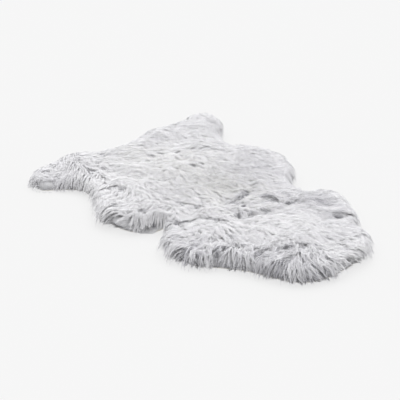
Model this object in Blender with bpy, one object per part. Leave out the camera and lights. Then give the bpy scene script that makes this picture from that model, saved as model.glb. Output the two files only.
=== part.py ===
"""Sheepskin rug: one whole tanned pelt with its long wool on, lying flat.

Frame: +X runs across the pelt, +Y from the neck to the tail and +Z up. The origin is on the floor,
at the centre of the footprint. All sizes are in metres.

The skin and the wool share one flat plan. The skin is that plan, extruded to its thickness. The wool
is the same plan, raised to the lumpy top of the pile, with locks drawn out of its side wall.
"""
import math
import random

import bmesh
import bpy
from mathutils import Vector, geometry, noise

# Overall size of the rug, wool included
RUG_WIDTH = 0.640
RUG_LENGTH = 0.972

# The skin
SKIN_THICKNESS = 0.0025
SKIN_COLOUR = (0.80, 0.73, 0.60, 1.0)
SKIN_ROUGHNESS = 0.75

# The wool
SKIN_TO_WOOL = 0.0003        # gap between the two pieces
PILE = 0.051                 # full depth of the wool at rest
SHOULDER = 0.045             # how far in from the rim the wool reaches that depth
SHOULDER_SHARE = 0.86        # share of the full depth that the wool has at the rim itself
WOOL_COLOUR = (0.72, 0.72, 0.74, 1.0)
WOOL_ROUGHNESS = 0.95

# The shared plan
RIM_STEP = 0.0165            # width of one lock's root along the rim
GRID_STEP = 0.0140           # spacing of the points inside the rim
RIM_CLEARANCE = 0.6          # least distance from those points to the rim, in grid steps
CURVE_STEPS = 12             # straight steps to each stretch of the outline's curve
INSIDE_ONLY = 1              # the triangulation keeps only what lies inside the rim
SAME_POINT = 1e-6            # distance at which it takes two points for one

# The locks. WALL_ROWS has one row of root faces for each entry, from the skin up.
WALL_ROWS = (
    # share of the wall's height at the row's top, how far the wall stands out there
    {"top": 0.32, "out": 0.006},
    {"top": 0.66, "out": 0.008},
    {"top": 1.00, "out": 0.000},
)
LOCKS = (
    # how far each row's locks reach past the rim, and how high the undersides of their tip and
    # bend lie, as shares of the wall's height
    {"reach": 0.023, "tip": 0.00, "bend": 0.03},
    {"reach": 0.033, "tip": 0.14, "bend": 0.30},
    {"reach": 0.030, "tip": 0.52, "bend": 0.72},
)
LOCK_BEND_AT = 0.58          # share of the reach at which a lock bends down
LOCK_BEND_SIZE = (0.92, 0.64)   # width and thickness at the bend, as shares of the root's
LOCK_TIP_SIZE = (0.38, 0.42)    # width and thickness at the tip, as shares of the bend's
LOCK_TILT = 0.30             # how far a section leans out over its height, square to the drooping path
LOCK_SWEEP = 0.12            # most that a lock leans along the rim, as a share of its reach
LOCK_SPREAD = 0.18           # most that a lock's reach departs from its row's
NOTCH_SHARE = 0.50           # most of a notch's radius that the locks in it fill
NOTCH_STEPS = 3              # rim steps to each side over which a notch is measured
SEED = 12                    # of the locks' uneven reach and lean

# Outline of the skin's cut edge, from the neck to the hind legs, as the pelt lies
SIDES = (
    # place on the pelt, its point on the left edge, its point on the right edge
    {"place": "neck corner", "left": (-0.055, -0.425), "right": (0.122, -0.402)},
    {"place": "throat", "left": (-0.090, -0.375), "right": (0.147, -0.373)},
    {"place": "nape", "left": (-0.120, -0.315), "right": (0.163, -0.318)},
    {"place": "foreleg root", "left": (-0.165, -0.262), "right": (0.187, -0.271)},
    {"place": "foreleg", "left": (-0.201, -0.226), "right": (0.215, -0.230)},
    {"place": "shoulder", "left": (-0.209, -0.175), "right": (0.236, -0.160)},
    {"place": "waist front", "left": (-0.185, -0.118), "right": (0.192, -0.122)},
    {"place": "waist", "left": (-0.166, -0.075), "right": (0.177, -0.075)},
    {"place": "waist back", "left": (-0.180, -0.030), "right": (0.184, -0.030)},
    {"place": "belly front", "left": (-0.224, 0.008), "right": (0.230, 0.025)},
    {"place": "belly", "left": (-0.240, 0.068), "right": (0.261, 0.080)},
    {"place": "belly back", "left": (-0.226, 0.130), "right": (0.274, 0.142)},
    {"place": "flank", "left": (-0.200, 0.185), "right": (0.247, 0.192)},
    {"place": "thigh root", "left": (-0.188, 0.238), "right": (0.208, 0.245)},
    {"place": "thigh", "left": (-0.206, 0.290), "right": (0.224, 0.312)},
    {"place": "hind leg", "left": (-0.248, 0.321), "right": (0.266, 0.378)},
    {"place": "hind tip", "left": (-0.283, 0.345), "right": (0.291, 0.422)},
)
TAIL_EDGE = (
    # the edge between the hind legs, from the right leg to the left
    {"place": "right leg end", "at": (0.276, 0.452)},
    {"place": "right rump", "at": (0.206, 0.441)},
    {"place": "right of tail", "at": (0.117, 0.420)},
    {"place": "tail", "at": (0.022, 0.388)},
    {"place": "left of tail", "at": (-0.086, 0.378)},
    {"place": "left rump", "at": (-0.135, 0.386)},
    {"place": "left leg end", "at": (-0.264, 0.374)},
)
NECK_EDGE = (
    {"place": "left of neck", "at": (-0.011, -0.438)},
    {"place": "right of neck", "at": (0.052, -0.431)},
)

# The small ripple in which the skin lifts off the floor at the left waist. Its size runs along the
# rim and inward. The wool parts over it: locks grow shorter towards its crest, with none at the crest.
RIPPLE = {
    "at": (-0.169, -0.054),
    "height": 0.014,
    "along_rim": 0.020,
    "inward": 0.024,
    "cut": 0.04,             # share of the crest below which the skin lies flat
    "thinning": 0.30,        # share of its depth that the wool loses at the crest
    "parting": 0.75,         # share of its reach that a lock would lose at the crest
    "bare": 0.60,            # share of the crest's height above which there are no locks
}

# Long hollows in the pile, where the wool parts
FURROWS = (
    # place, middle, half length, half width, depth, turn from +X in degrees
    {"place": "waist left", "at": (-0.125, -0.092), "half": (0.055, 0.016), "depth": 0.014, "turn": -4},
    {"place": "waist middle", "at": (-0.052, -0.128), "half": (0.045, 0.017), "depth": 0.016, "turn": -34},
    {"place": "waist right", "at": (0.035, -0.132), "half": (0.060, 0.018), "depth": 0.020, "turn": 14},
    {"place": "behind waist", "at": (0.085, -0.082), "half": (0.040, 0.014), "depth": 0.012, "turn": -30},
    {"place": "right foreleg", "at": (0.135, -0.175), "half": (0.050, 0.016), "depth": 0.014, "turn": -24},
    {"place": "right throat", "at": (0.150, -0.275), "half": (0.034, 0.014), "depth": 0.012, "turn": -30},
    {"place": "neck crown", "at": (0.030, -0.365), "half": (0.070, 0.012), "depth": 0.008, "turn": -38},
    {"place": "left belly", "at": (-0.165, 0.187), "half": (0.035, 0.013), "depth": 0.009, "turn": 32},
    {"place": "left thigh", "at": (-0.160, 0.300), "half": (0.045, 0.014), "depth": 0.010, "turn": 62},
    {"place": "left rump", "at": (-0.098, 0.340), "half": (0.030, 0.013), "depth": 0.008, "turn": 30},
    {"place": "right rump", "at": (0.150, 0.330), "half": (0.045, 0.015), "depth": 0.009, "turn": 55},
    {"place": "back", "at": (0.030, 0.205), "half": (0.060, 0.015), "depth": 0.009, "turn": 20},
    {"place": "right flank", "at": (0.150, 0.110), "half": (0.050, 0.015), "depth": 0.009, "turn": 75},
)

# Where the wool stands fuller than the rest, or lies thinner
SWELLS = (
    # place, middle, radius, height
    {"place": "tongue", "at": (-0.010, -0.060), "radius": 0.060, "height": 0.008},
    {"place": "back", "at": (0.020, 0.120), "radius": 0.110, "height": 0.006},
    {"place": "left belly", "at": (-0.150, 0.070), "radius": 0.080, "height": 0.004},
    {"place": "shoulders", "at": (0.030, -0.235), "radius": 0.090, "height": 0.006},
    {"place": "left hind leg", "at": (-0.250, 0.345), "radius": 0.060, "height": -0.014},
)

# Uneven tufts all over the pile: rounded lumps with creases between them, in two sizes
LUMPS = (
    {"across": 0.075, "along": 0.100, "height": 0.014},
    {"across": 0.038, "along": 0.050, "height": 0.011},
)
LUMP_MIDDLE = 0.20           # share of a lump's height that lies below the pile's mean
LUMP_LAYER = 12.5            # layer of the noise that the lumps are read from
LUMPS_AT_RIM = 0.35          # share of their height that the lumps keep at the rim
FURROWS_AT_RIM = 0.40        # share of their depth that the furrows keep at the rim


def clear_scene():
    for item in list(bpy.data.objects):
        bpy.data.objects.remove(item, do_unlink=True)


def new_collection(name):
    group = bpy.data.collections.new(name)
    bpy.context.scene.collection.children.link(group)
    return group


def plain_material(name, colour, roughness):
    material = bpy.data.materials.new(name)
    material.use_nodes = True
    shader = material.node_tree.nodes["Principled BSDF"]
    shader.inputs["Base Color"].default_value = colour
    shader.inputs["Roughness"].default_value = roughness
    shader.inputs["Metallic"].default_value = 0.0
    return material


def outline_points():
    """The outline's own points, anticlockwise seen from above, from the neck's left corner."""
    neck = [row["at"] for row in NECK_EDGE]
    right = [row["right"] for row in SIDES]
    tail = [row["at"] for row in TAIL_EDGE]
    left = [row["left"] for row in reversed(SIDES)]
    return neck + right + tail + left


def draw_outline(guides):
    """A closed smooth curve through the outline's points, kept as a guide."""
    curve = bpy.data.curves.new("skin_outline", "CURVE")
    curve.dimensions = "2D"
    curve.fill_mode = "NONE"
    curve.resolution_u = CURVE_STEPS
    curve.render_resolution_u = CURVE_STEPS
    points = outline_points()
    spline = curve.splines.new("BEZIER")
    spline.bezier_points.add(len(points) - 1)
    for knot, (x, y) in zip(spline.bezier_points, points):
        knot.co = (x, y, 0.0)
        knot.handle_left_type = "AUTO"
        knot.handle_right_type = "AUTO"
    spline.use_cyclic_u = True
    guide = bpy.data.objects.new("skin_outline", curve)
    guide.hide_render = True
    guide.display_type = "WIRE"
    guides.objects.link(guide)
    return guide


def even_rim(guide):
    """Points at even steps along the guide, an even number of them, so that locks can alternate."""
    bpy.context.view_layer.update()
    evaluated = guide.evaluated_get(bpy.context.evaluated_depsgraph_get())
    drawn = bpy.data.meshes.new_from_object(evaluated)
    path = [vertex.co.xy.copy() for vertex in drawn.vertices]
    bpy.data.meshes.remove(drawn)
    lengths = [0.0]
    for here, after in zip(path, path[1:] + path[:1]):
        lengths.append(lengths[-1] + (after - here).length)
    count = 2 * round(lengths[-1] / RIM_STEP / 2)
    rim = []
    stretch = 0
    for index in range(count):
        want = lengths[-1] * index / count
        while lengths[stretch + 1] < want:
            stretch += 1
        share = (want - lengths[stretch]) / (lengths[stretch + 1] - lengths[stretch])
        rim.append(path[stretch].lerp(path[(stretch + 1) % len(path)], share))
    return rim


def rim_distance(point, rim):
    """Distance from a point to the rim's nearest straight step."""
    nearest = math.inf
    for here, after in zip(rim, rim[1:] + rim[:1]):
        step = after - here
        share = max(0.0, min(1.0, (point - here).dot(step) / step.length_squared))
        nearest = min(nearest, (point - here - step * share).length)
    return nearest


def inside(point, rim):
    """True where a ray along +X crosses the rim an odd number of times."""
    crossings = 0
    for here, after in zip(rim, rim[1:] + rim[:1]):
        if (here.y > point.y) != (after.y > point.y):
            share = (point.y - here.y) / (after.y - here.y)
            if point.x < here.x + share * (after.x - here.x):
                crossings += 1
    return crossings % 2 == 1


def grid_points(rim):
    """A triangular grid of points inside the rim."""
    row_step = GRID_STEP * math.sqrt(3) / 2
    rows = math.ceil(RUG_LENGTH / 2 / row_step)
    columns = math.ceil(RUG_WIDTH / 2 / GRID_STEP)
    points = []
    for row in range(-rows, rows + 1):
        shift = 0.5 * (row % 2)
        for column in range(-columns, columns + 1):
            point = Vector(((column + shift) * GRID_STEP, row * row_step))
            if inside(point, rim) and rim_distance(point, rim) > RIM_CLEARANCE * GRID_STEP:
                points.append(point)
    return points


def plan_mesh(rim):
    """The flat plan as a triangulated sheet at z = 0, facing up.

    Each corner on the rim keeps its place along it, counted from 1, and the others keep 0.
    """
    count = len(rim)
    rim_edges = [(index, (index + 1) % count) for index in range(count)]
    points = rim + grid_points(rim)
    filled = geometry.delaunay_2d_cdt(points, rim_edges, [], INSIDE_ONLY, SAME_POINT)
    plan = bmesh.new()
    rim_place = plan.verts.layers.int.new("rim_place")
    corners = [plan.verts.new((point.x, point.y, 0.0)) for point in filled[0]]
    for corner, sources in zip(corners, filled[3]):
        corner[rim_place] = next((source + 1 for source in sources if source < count), 0)
    for triangle in filled[2]:
        plan.faces.new([corners[index] for index in triangle])
    bmesh.ops.recalc_face_normals(plan, faces=plan.faces)
    if sum(face.normal.z for face in plan.faces) < 0:
        bmesh.ops.reverse_faces(plan, faces=plan.faces)
    return plan


def swell(point, at, half, turn=0.0):
    """1 at a place, falling smoothly to nothing past its half sizes."""
    offset = Vector((point.x - at[0], point.y - at[1]))
    angle = math.radians(turn)
    along = offset.x * math.cos(angle) + offset.y * math.sin(angle)
    across = offset.y * math.cos(angle) - offset.x * math.sin(angle)
    return math.exp(-((along / half[0]) ** 2 + (across / half[1]) ** 2))


def ripple_share(point):
    """1 at the crest of the waist's ripple, 0 where the skin lies on the floor."""
    share = swell(point, RIPPLE["at"], (RIPPLE["inward"], RIPPLE["along_rim"]))
    return max(0.0, (share - RIPPLE["cut"]) / (1.0 - RIPPLE["cut"]))


def skin_lift(point):
    return RIPPLE["height"] * ripple_share(point)


def lumps(point):
    """Height of the uneven tufts, which are a little longer along the pelt than across it."""
    total = 0.0
    for level, lump in enumerate(LUMPS):
        place = Vector((point.x / lump["across"], point.y / lump["along"], LUMP_LAYER + level))
        total += lump["height"] * (abs(noise.noise(place)) - LUMP_MIDDLE)
    return total


def pile_depth(point, rim):
    """Depth of the wool over a point of the skin."""
    far = min(1.0, rim_distance(point, rim) / SHOULDER)
    crown = math.sqrt(1.0 - (1.0 - far) ** 2)
    depth = PILE * (SHOULDER_SHARE + (1.0 - SHOULDER_SHARE) * crown)
    depth += lumps(point) * (LUMPS_AT_RIM + (1.0 - LUMPS_AT_RIM) * crown)
    for row in SWELLS:
        radius = row["radius"]
        depth += row["height"] * swell(point, row["at"], (radius, radius))
    furrow_share = FURROWS_AT_RIM + (1.0 - FURROWS_AT_RIM) * crown
    for row in FURROWS:
        depth -= row["depth"] * furrow_share * swell(point, row["at"], row["half"], row["turn"])
    return depth * (1.0 - RIPPLE["thinning"] * ripple_share(point))


def add_object(name, shape, material, group):
    bmesh.ops.recalc_face_normals(shape, faces=shape.faces)
    mesh = bpy.data.meshes.new(name)
    shape.to_mesh(mesh)
    shape.free()
    mesh.materials.append(material)
    added = bpy.data.objects.new(name, mesh)
    group.objects.link(added)
    return added


def raise_patch(shape, patch, keep_below):
    """Extrude a patch of faces. Gives the raised patch and the new wall round it."""
    before = set(shape.faces)
    made = bmesh.ops.extrude_face_region(shape, geom=patch)["geom"]
    raised = [item for item in made if isinstance(item, bmesh.types.BMFace)]
    known = before.union(raised)
    wall = [face for face in shape.faces if face not in known]
    if not keep_below:
        bmesh.ops.delete(shape, geom=patch, context="FACES")
    return raised, wall


def corners_of(faces):
    return {corner for face in faces for corner in face.verts}


def make_skin(plan, group):
    """The tanned skin: the plan at its thickness, over the ripple."""
    shape = plan.copy()
    top, _ = raise_patch(shape, shape.faces[:], keep_below=True)
    for corner in corners_of(top):
        corner.co.z = SKIN_THICKNESS
    for corner in shape.verts:
        corner.co.z += skin_lift(corner.co)
    return add_object("hide", shape, plain_material("skin", SKIN_COLOUR, SKIN_ROUGHNESS), group)


def rim_directions(rim):
    """The outward direction at each rim point."""
    count = len(rim)
    directions = []
    for index in range(count):
        along = (rim[(index + 1) % count] - rim[index - 1]).normalized()
        directions.append(Vector((along.y, -along.x)))
    return directions


def notch_radius(rim, index):
    """Radius of the hollow in the rim round a point, or infinity where the rim bulges."""
    count = len(rim)
    before = rim[(index - NOTCH_STEPS) % count]
    here = rim[index % count]
    after = rim[(index + NOTCH_STEPS) % count]
    turn = (here - before).angle_signed(after - here)
    if turn <= 0.0:
        return math.inf
    return (after - before).length / (2.0 * math.sin(turn))


def raise_wool(shape, rim):
    """Raise the plan to the top of the pile. Gives a ring of wall faces for each row of locks."""
    foot = SKIN_THICKNESS + SKIN_TO_WOOL
    directions = rim_directions(rim)
    depth = shape.verts.layers.float.new("depth")
    rim_place = shape.verts.layers.int["rim_place"]
    for corner in shape.verts:
        corner[depth] = pile_depth(corner.co.xy, rim)
        corner.co.z = foot + skin_lift(corner.co)
    patch = shape.faces[:]
    rings = []
    for row in WALL_ROWS:
        patch, wall = raise_patch(shape, patch, keep_below=not rings)
        rings.append(wall)
        for corner in corners_of(patch):
            flat = corner.co.xy
            if corner[rim_place]:
                index = corner[rim_place] - 1
                flat = rim[index] + directions[index] * row["out"]
            height = foot + skin_lift(rim[index] if corner[rim_place] else flat)
            corner.co = (flat.x, flat.y, height + corner[depth] * row["top"])
    return rings


def move_section(face, middle, direction, underside, wide, thick):
    """Set a lock's end face square across its path, at a new width and thickness."""
    old = face.calc_center_median()
    low = min(corner.co.z for corner in face.verts)
    ahead = direction.normalized()
    side = Vector((-ahead.y, ahead.x))
    for corner in face.verts:
        rise = (corner.co.z - low) * thick
        flat = middle + side * (corner.co.xy - old.xy).dot(side) * wide + ahead * rise * LOCK_TILT
        corner.co = (flat.x, flat.y, underside + rise)


def draw_lock(shape, root, direction, reach, notch, heights):
    """Draw one lock out of its root face: out to a bend, then down to its tip.

    In a notch of the rim the locks run together, so they narrow as they near its middle.
    """
    start = root.calc_center_median().xy
    end = root
    sizes = (LOCK_BEND_SIZE, LOCK_TIP_SIZE)
    for share, (wide, thick), height in zip((LOCK_BEND_AT, 1.0), sizes, heights):
        end = bmesh.ops.extrude_discrete_faces(shape, faces=[end])["faces"][0]
        squeeze = 1.0 - reach * share / notch
        middle = start + direction * reach * share
        move_section(end, middle, direction, height, wide * squeeze, thick)


def roots_by_place(shape, ring):
    """The faces of a ring, each under the place of its first corner along the rim."""
    rim_place = shape.verts.layers.int["rim_place"]
    roots = {}
    for face in ring:
        low, high = sorted({corner[rim_place] - 1 for corner in face.verts})
        roots[low if high - low == 1 else high] = face
    return roots


def lock_reach(reach, middle, wall, notch):
    """How far a lock reaches: less where the wool is thin, in a notch and over the ripple."""
    reach *= min(1.0, wall / (PILE * SHOULDER_SHARE))
    reach = min(reach, NOTCH_SHARE * notch)
    return reach * (1.0 - RIPPLE["parting"] * ripple_share(middle))


def draw_locks(shape, rim, rings):
    """Draw a lock out of every other face of each ring, one row's locks between the next row's."""
    chance = random.Random(SEED)
    directions = rim_directions(rim)
    count = len(rim)
    for level, (lock, ring) in enumerate(zip(LOCKS, rings)):
        roots = roots_by_place(shape, ring)
        for first in range(level % 2, count, 2):
            after = (first + 1) % count
            middle = (rim[first] + rim[after]) / 2
            out = (directions[first] + directions[after]).normalized()
            lean = Vector((-out.y, out.x)) * chance.uniform(-LOCK_SWEEP, LOCK_SWEEP)
            spread = 1.0 + chance.uniform(-LOCK_SPREAD, LOCK_SPREAD)
            if ripple_share(middle) > RIPPLE["bare"]:
                continue
            wall = pile_depth(middle, rim)
            notch = notch_radius(rim, first)
            reach = lock_reach(lock["reach"] * spread, middle, wall, notch)
            heights = [skin_lift(middle) + wall * lock[place] for place in ("bend", "tip")]
            draw_lock(shape, roots[first], out + lean, reach, notch, heights)


def make_wool(plan, rim, group):
    """The wool: a lumpy slab of pile with locks round its rim."""
    shape = plan.copy()
    rings = raise_wool(shape, rim)
    draw_locks(shape, rim, rings)
    return add_object("fleece", shape, plain_material("wool", WOOL_COLOUR, WOOL_ROUGHNESS), group)


def fit_to_size(pieces):
    """Bring the pieces to the rug's size and centre them over the origin."""
    corners = [vertex.co for piece in pieces for vertex in piece.data.vertices]
    low = Vector((min(co.x for co in corners), min(co.y for co in corners)))
    high = Vector((max(co.x for co in corners), max(co.y for co in corners)))
    middle = (low + high) / 2
    grow = Vector((RUG_WIDTH / (high.x - low.x), RUG_LENGTH / (high.y - low.y)))
    for piece in pieces:
        for vertex in piece.data.vertices:
            vertex.co.x = (vertex.co.x - middle.x) * grow.x
            vertex.co.y = (vertex.co.y - middle.y) * grow.y


def main():
    clear_scene()
    guides = new_collection("sheepskin_rug_guides")
    rug = new_collection("sheepskin_rug")
    rim = even_rim(draw_outline(guides))
    plan = plan_mesh(rim)
    pieces = [make_skin(plan, rug), make_wool(plan, rim, rug)]
    plan.free()
    fit_to_size(pieces)


main()
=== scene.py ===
"""Looks of the sheepskin rug: a suede skin under a deep, combed coat of silver wool.

Frame: +X runs across the pelt, +Y from the neck to the tail and +Z up, in metres, with the floor at z = 0.
The coat is drawn strand by strand. Every strand belongs to a staple, a small bundle whose strands draw
together towards the tip, and follows the staple's guide: a path over the pelt in the direction in which the
wool is combed. Heights come from a field, the cover: the depth of the wool over the skin, read from the
packed fleece, which falls to the floor past the rim of the skin and carries the finer relief of the wool.
"""
import math

import bmesh
import bpy
import numpy as np
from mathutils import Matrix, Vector, geometry, kdtree
from mathutils.bvhtree import BVHTree


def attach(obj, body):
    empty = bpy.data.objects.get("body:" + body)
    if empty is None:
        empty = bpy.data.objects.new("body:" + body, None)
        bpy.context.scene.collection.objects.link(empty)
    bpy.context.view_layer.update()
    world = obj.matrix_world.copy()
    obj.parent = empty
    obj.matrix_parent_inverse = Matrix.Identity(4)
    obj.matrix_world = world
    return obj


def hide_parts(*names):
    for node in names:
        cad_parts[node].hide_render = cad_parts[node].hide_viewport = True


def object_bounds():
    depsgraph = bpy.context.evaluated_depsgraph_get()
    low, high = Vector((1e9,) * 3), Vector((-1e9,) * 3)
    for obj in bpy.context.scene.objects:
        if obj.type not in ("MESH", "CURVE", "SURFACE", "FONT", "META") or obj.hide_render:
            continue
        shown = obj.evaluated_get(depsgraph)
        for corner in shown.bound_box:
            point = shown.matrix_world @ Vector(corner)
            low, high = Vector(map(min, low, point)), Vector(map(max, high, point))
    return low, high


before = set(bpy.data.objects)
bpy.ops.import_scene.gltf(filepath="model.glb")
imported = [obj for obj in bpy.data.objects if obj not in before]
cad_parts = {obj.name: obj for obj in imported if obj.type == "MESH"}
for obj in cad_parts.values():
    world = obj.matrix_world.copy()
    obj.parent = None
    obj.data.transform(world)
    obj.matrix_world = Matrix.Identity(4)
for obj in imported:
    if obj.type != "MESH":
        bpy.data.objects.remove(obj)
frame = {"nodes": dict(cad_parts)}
cad_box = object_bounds()


def table(columns, *rows):
    """The rows of a table, each with its values under the names of its columns."""
    return [dict(zip(columns, row)) for row in rows]


PLACED = ("place", "at", "radius", "amount")         # columns of the tables of soft round places

SEED = 19

# Camera, as the photograph was taken
CAMERA_PLACE = (-2.0013, -2.9113, 1.5890)
CAMERA_AIM = (0.5106, 0.7585, -0.4049)
CAMERA_LENS = 144.0          # millimetres, on a sensor 36 mm wide

# Light and floor
SKY = {"colour": (0.99, 0.99, 1.0), "strength": 0.72}
SUN = {"from": (0.25, 0.25, 2.0), "strength": 3.02, "spread": 80.0, "colour": (1.0, 0.998, 0.99)}
FLOOR = {"half": 40.0, "colour": (0.11, 0.11, 0.11), "glow": 0.742}

# The grid on which the coat's fields are kept
CELL = 0.003
MARGIN = 0.060               # how far the grid reaches past the solids

# The skin
SKIN_THICKNESS = 0.0025
RIM_FINE = 4                 # rim points for each corner of the solid's rim
SKIN_STEP = 0.016            # spacing of the points inside the rim of the skin
UNDERCOAT_STEP = 0.007       # and of the undercoat
CREASE_STEP = 0.003          # in the creases and partings
CREASED = 0.08               # shade from which it is so close
RIM_CLEAR = 0.55             # least distance from those points to the rim, in plan steps
RIPPLE = {
    # the lift of the skin off the floor at the left waist
    "at": (-0.181, -0.054),
    "height": 0.014,
    "along": 0.027,
    "inward": 0.026,
    "bare": 0.90,            # share of the overhang that is missing there
    "eave": 0.020,           # how far past the rim its lift still holds up the wool
}
SKIN_WALL = table(
    # share of the thickness, how far the cut edge stands out there
    ("share", "out"),
    (0.12, 0.0002),
    (0.55, 0.0004),
    (0.90, 0.0001),
)

# The undercoat: the dense wool that closes the pile below the strands
UNDERCOAT_GAP = 0.0003
UNDERCOAT_INSET = 0.003      # of its top and bottom from the skin's rim
UNDERCOAT_LEVEL = {"smooth": 0.95, "tousled": 0.80}      # its height as a share of the cover
UNDERCOAT_WALL = table(
    # share of its height, how far it stands out there, how much further with the wool past the rim and, under
    # the belly, how far instead and how dark it is painted, as shade
    ("share", "out", "follows", "belly", "dark"),
    (-0.045, 0.002, 0.0, 0.010, 0.0),
    (0.02, 0.003, 0.0, 0.009, 0.0),
    (0.16, 0.005, 0.8, 0.004, 0.3),
    (0.36, 0.008, 1.8, 0.001, 0.95),
    (0.60, 0.008, 1.8, 0.003, 0.4),
    (0.82, 0.005, 1.8, 0.004, 0.1),
)
UNDERCOAT_FOOT_SHADE = 0.42        # its painted shade at the floor

# The cover past the rim
OVERHANG = 0.031             # how far the wool of full depth reaches past the skin
FULL_DEPTH = 0.045           # depth of the wool at the rim for that reach
OVERHANGS = table(
    # where at the rim it reaches further or, below nothing, less far, as a share
    PLACED,
    ("tail, right", (0.268, 0.326), 0.036, -0.75),
    ("right belly", (0.250, 0.063), 0.030, 0.40),
    ("right foreleg", (0.213, -0.152), 0.026, 0.55),
    ("throat, right", (0.185, -0.262), 0.030, 0.40),
    ("neck, right", (0.142, -0.362), 0.024, 0.45),
    ("foreleg root", (-0.184, -0.098), 0.011, -0.70),
    ("belly, left", (-0.251, 0.050), 0.028, 0.60),
    ("belly, low", (-0.217, -0.016), 0.014, -0.30),
    ("waist, left", (-0.190, -0.038), 0.012, -0.80),
    ("foreleg, left", (-0.205, -0.146), 0.020, 0.46),
    ("foreleg, near", (-0.218, -0.205), 0.026, 0.30),
    ("hind leg, near", (-0.278, 0.325), 0.020, -0.80),
    ("hind leg tip", (-0.272, 0.372), 0.020, 0.75),
)
LEAST_OVERHANG = 0.003
COVER_BLUR = 0.004           # smooths the solid's facets
RIM_READ = {"inset": 0.004, "points": 12, "blend": 0.008}    # how the wool's depth at the rim is read
LEAST_COVER = 0.002
DIRECTION_BLUR = 0.010       # smooths the outward direction in the notches
RELIEF_LOST = 0.9            # share of the relief's square that is lost where the wool meets the floor

# Ridges of combed wool: their width, length and usual height, where smooth and where tousled
RIDGES = {"size": 0.005, "length": 0.018, "smooth": 0.0003, "tousled": 0.0013}
PUFFS = {"size": 0.032, "height": 0.0022}            # soft swellings all over the coat

# Where the wool closes over a wide hollow of the skin below, or lies lower than the rest
FILLS = table(
    # place, middle, half length, half width, height, turn from +X in degrees
    ("place", "at", "half", "height", "turn"),
    ("waist left", (-0.135, -0.100), (0.055, 0.016), 0.013, -4),
    ("waist middle", (-0.062, -0.136), (0.045, 0.017), 0.014, -34),
    ("waist lobe", (0.025, -0.136), (0.060, 0.020), 0.022, 14),
    ("behind waist", (0.075, -0.090), (0.040, 0.014), 0.008, -30),
    ("right foreleg", (0.125, -0.183), (0.050, 0.016), 0.012, -24),
    ("front, behind", (-0.085, -0.190), (0.085, 0.030), -0.005, -30),
    ("front, middle", (0.030, -0.200), (0.070, 0.024), -0.003, 5),
)
FILL_RIM = {"width": 0.030, "least": 0.4}            # near the rim only a share of these heights counts
THIN = table(
    # share of the wool's depth that is missing
    PLACED,
    ("hind leg, near", (-0.275, 0.280), 0.030, 0.30),
    ("thigh, far", (-0.165, 0.350), 0.040, -0.16),
    ("foreleg root", (-0.184, -0.104), 0.016, 0.30),
)

# Creases in the coat, each along a line that runs to the right as the camera sees it
CREASES = table(
    # place, its line, half width, depth, how dark it is painted, as shade, height of the fuller wool behind
    # it
    ("place", "half", "depth", "dark", "lip", "line"),
    ("left waist", 0.003, 0.004, 0.85, 0.002,
     ((-0.205, -0.080), (-0.185, -0.075), (-0.170, -0.084), (-0.153, -0.103), (-0.134, -0.117),
      (-0.118, -0.128), (-0.108, -0.150), (-0.090, -0.163), (-0.064, -0.168))),
    ("middle cleft", 0.004, 0.010, 1.0, 0.0,
     ((-0.030, -0.140), (-0.045, -0.170))),
    ("under the lobe", 0.005, 0.010, 1.0, 0.006,
     ((-0.034, -0.158), (-0.018, -0.178), (0.008, -0.183), (0.031, -0.176), (0.054, -0.168))),
    ("right of the tongue", 0.004, 0.007, 0.9, 0.003,
     ((-0.036, -0.107), (-0.010, -0.104), (0.018, -0.094), (0.042, -0.080), (0.066, -0.066))),
    ("behind the lobe", 0.004, 0.007, 0.9, 0.002,
     ((-0.026, -0.110), (-0.014, -0.124), (-0.002, -0.136))),
    ("right waist", 0.006, 0.010, 1.0, 0.004,
     ((0.044, -0.114), (0.058, -0.125), (0.074, -0.134), (0.090, -0.142))),
    ("right foreleg", 0.005, 0.010, 1.0, 0.003,
     ((0.086, -0.160), (0.098, -0.169), (0.122, -0.176))),
    ("right throat", 0.005, 0.014, 1.0, 0.003,
     ((0.150, -0.276), (0.185, -0.283))),
    ("left belly", 0.005, 0.003, 0.15, 0.002,
     ((-0.291, 0.012), (-0.262, 0.006), (-0.240, -0.020), (-0.215, -0.045))),
)

LIP = {"middle": 2.6, "width": 1.6}                  # the fuller wool behind a crease, in half widths
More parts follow.
